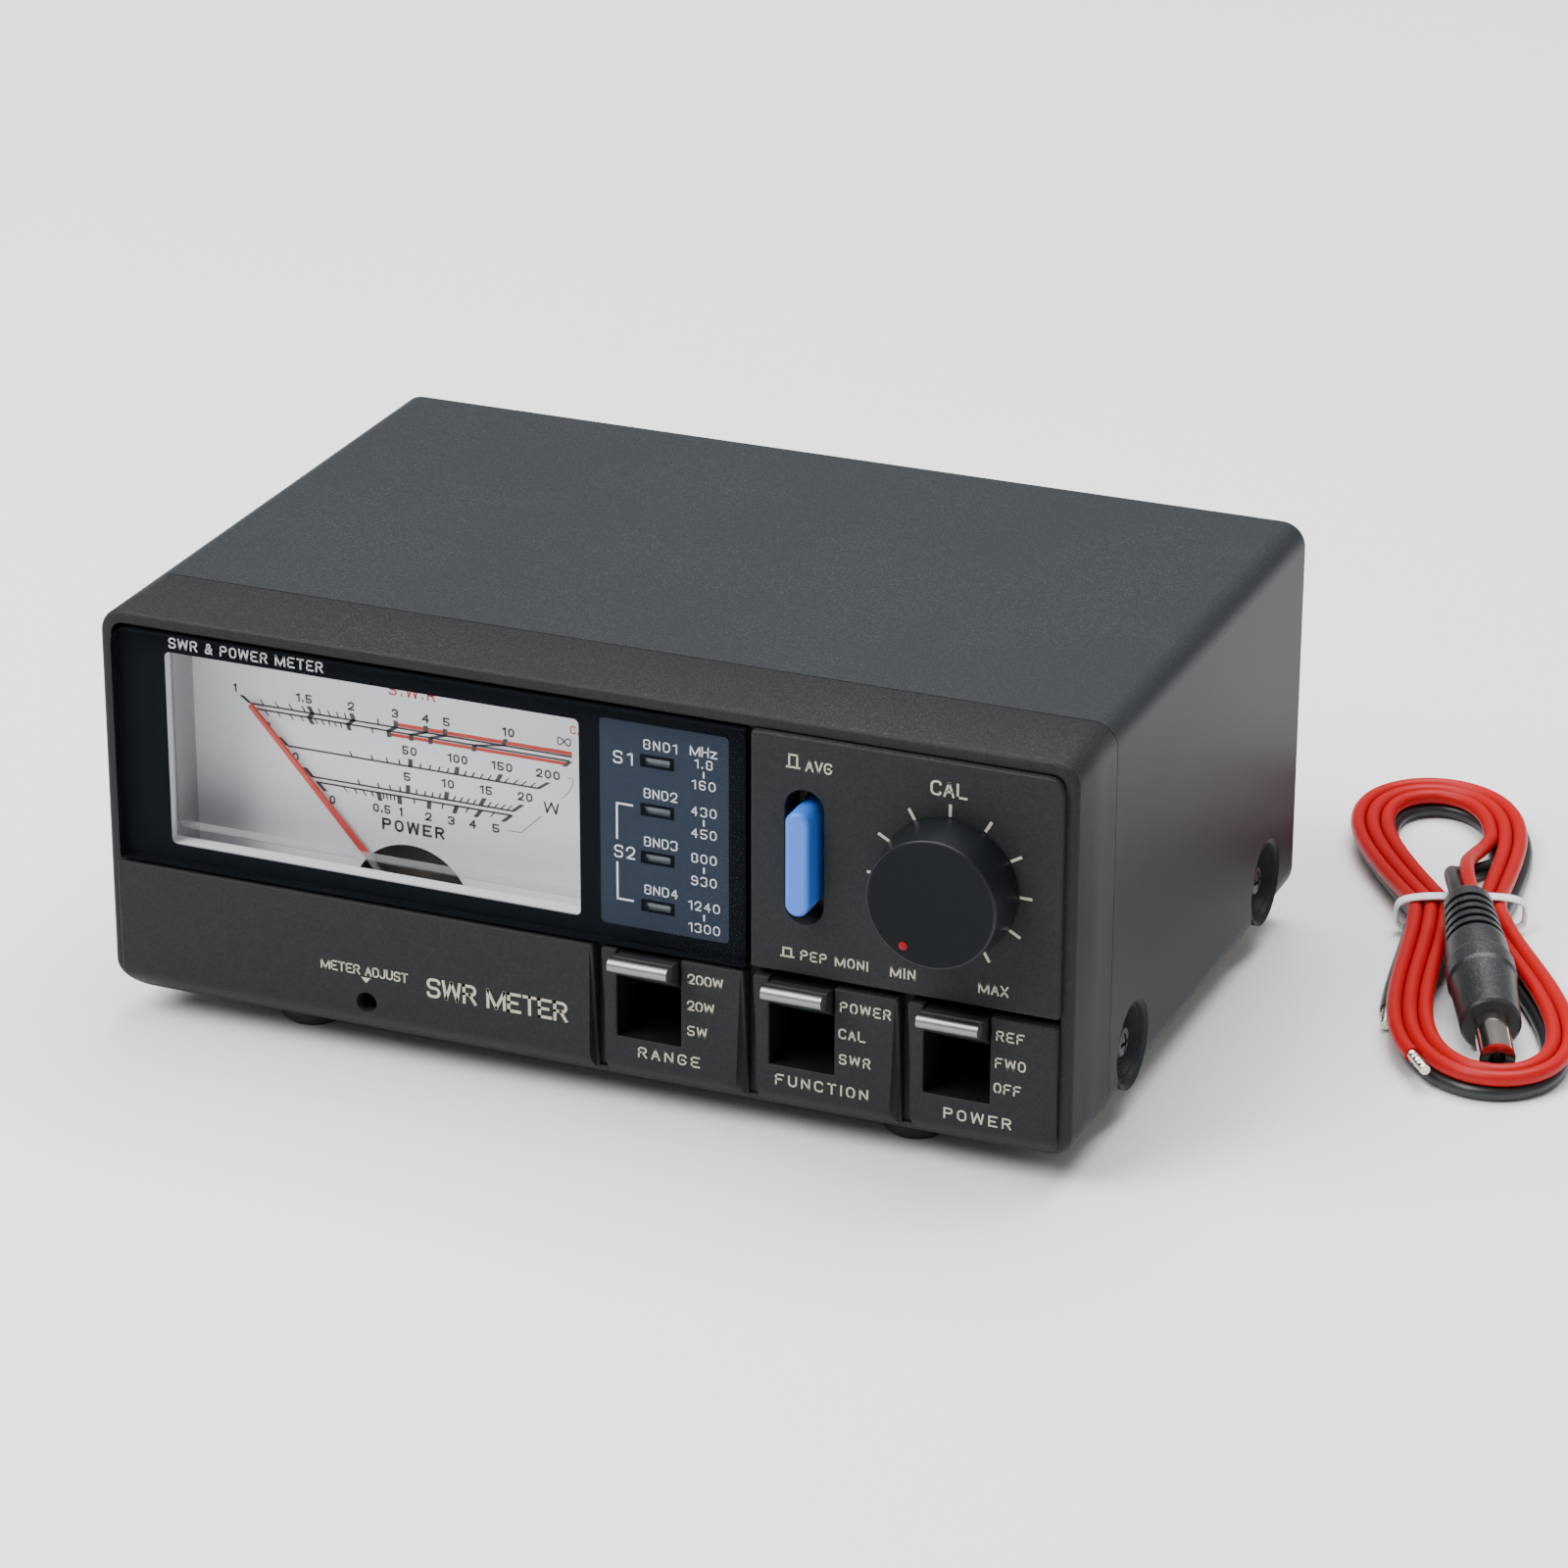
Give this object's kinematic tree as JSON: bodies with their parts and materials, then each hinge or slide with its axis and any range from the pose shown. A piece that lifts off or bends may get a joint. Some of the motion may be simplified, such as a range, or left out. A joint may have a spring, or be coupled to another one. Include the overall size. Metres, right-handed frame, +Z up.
{
  "type": "swr and power meter",
  "caption": "Tabletop radio SWR and power meter: moving-coil dial behind a clear plate, levers, push key, calibration knob and rear coaxial sockets.",
  "frame": {"origin": "on the surface the feet stand on, under the middle of the meter's box, sockets and knob included and the loose lead left out", "axes": "+X to the right seen from the front, +Y to the back, +Z up"},
  "size_m": [0.2144, 0.1673, 0.0668],
  "materials": {
    "bezel_plastic": "fine texture",
    "clear_acrylic": "polished",
    "printed_film": "printed",
    "led_lens": "satin",
    "white_plastic": "satin",
    "circuit_board": "satin",
    "painted_steel": "satin",
    "plated_steel": "satin",
    "foot_rubber": "matte",
    "screw_steel": "satin",
    "dial_aluminium": "satin",
    "brass_parts": "satin",
    "coil_wire": "satin",
    "gloss_black": "gloss",
    "dot_red": "gloss",
    "button_blue": "satin",
    "black_plastic": "satin",
    "lever_plastic": "satin",
    "bright_trim": "bright",
    "nickel": "bright",
    "wire_pvc": "satin",
    "tie_white": "satin",
    "plug_pvc": "satin"
  },
  "bodies": {
    "case": {"front_bezel": "bezel_plastic", "meter_plate": "clear_acrylic", "plate_mask": "printed_film", "band_strip": "printed_film", "led_lenses": "led_lens", "led_bodies": "white_plastic", "led_board": "circuit_board", "top_cover": "painted_steel", "chassis_base": "plated_steel", "rear_panel": "painted_steel", "feet": "foot_rubber", "foot_screws": "screw_steel", "cover_screws": "screw_steel", "bezel_screws": "screw_steel", "meter_case": "white_plastic", "dial_plate": "dial_aluminium", "magnet_yoke": "plated_steel", "magnet_core": "plated_steel", "jewel_bridges": "brass_parts", "hairsprings": "brass_parts", "meter_lamps": "white_plastic", "pot_body": "plated_steel", "pot_nut": "screw_steel", "avg_guide": "black_plastic", "avg_switch": "black_plastic", "lever_pins": "screw_steel", "lever_switches": "black_plastic", "control_board": "circuit_board", "board_parts": "black_plastic", "sensor_boxes": "plated_steel", "sensor_lines": "brass_parts", "sensor_toroid": "black_plastic", "uhf_sockets": "nickel", "n_sockets": "nickel", "socket_screws": "screw_steel", "socket_insulators": "white_plastic", "socket_contacts": "brass_parts", "dc_jack": "black_plastic", "dc_jack_pin": "screw_steel", "band_switch": "black_plastic", "lead_hank": "wire_pvc", "lead_tie": "tie_white", "lead_plug": "plug_pvc", "lead_barrel": "nickel"},
    "pointer_movement": {"moving_coil": "coil_wire", "pointer": "dial_aluminium", "pointer_hub": "dial_aluminium"},
    "adjuster": {"zero_adjuster": "black_plastic"},
    "adjuster_fork": {"zero_arm": "plated_steel"},
    "cal_control": {"cal_knob": "gloss_black", "knob_dot": "dot_red", "pot_shaft": "screw_steel"},
    "avg_key": {"avg_button": "button_blue"},
    "range_key": {"range_lever": "lever_plastic", "lever_lips_range": "bright_trim"},
    "function_key": {"function_lever": "lever_plastic", "lever_lips_function": "bright_trim"},
    "power_key": {"power_lever": "lever_plastic", "lever_lips_power": "bright_trim"},
    "band_key": {"band_slider": "white_plastic"}
  },
  "joints": [
    {"name": "pointer_swing", "type": "hinge", "parent": "case", "child": "pointer_movement", "pos_m": [-0.0342, -0.0356, 0.0193], "axis": [0, 1, 0], "range_deg": [0, 83], "stiffness_Nm_per_rad": 0.00002},
    {"name": "zero_adjust", "type": "hinge", "parent": "case", "child": "adjuster", "pos_m": [-0.0342, -0.0476, 0.0101], "axis": [0, 1, 0], "range_deg": [-45, 45]},
    {"name": "zero_fork", "type": "hinge", "parent": "case", "child": "adjuster_fork", "pos_m": [-0.0342, -0.0432, 0.0193], "axis": [0, 1, 0], "range_deg": [-6, 6]},
    {"name": "cal_turn", "type": "hinge", "parent": "case", "child": "cal_control", "pos_m": [0.05874, -0.0506, 0.04575], "axis": [0, 1, 0], "range_deg": [0, 300]},
    {"name": "avg_push", "type": "slide", "parent": "case", "child": "avg_key", "axis": [0, 1, 0], "range_m": [0, 0.003], "stiffness_N_per_m": 300},
    {"name": "range_select", "type": "hinge", "parent": "case", "child": "range_key", "pos_m": [0.012, -0.0433, 0.0194], "axis": [1, 0, 0], "range_deg": [0, 39]},
    {"name": "function_select", "type": "hinge", "parent": "case", "child": "function_key", "pos_m": [0.0362, -0.0433, 0.0194], "axis": [1, 0, 0], "range_deg": [0, 39]},
    {"name": "power_select", "type": "hinge", "parent": "case", "child": "power_key", "pos_m": [0.06025, -0.0433, 0.0194], "axis": [1, 0, 0], "range_deg": [0, 39]},
    {"name": "band_slide", "type": "slide", "parent": "case", "child": "band_key", "axis": [1, 0, 0], "range_m": [0, 0.0075]}
  ],
  "couplings": [
    {"joint": "zero_fork", "follows": "zero_adjust", "ratio": -0.095}
  ]
}
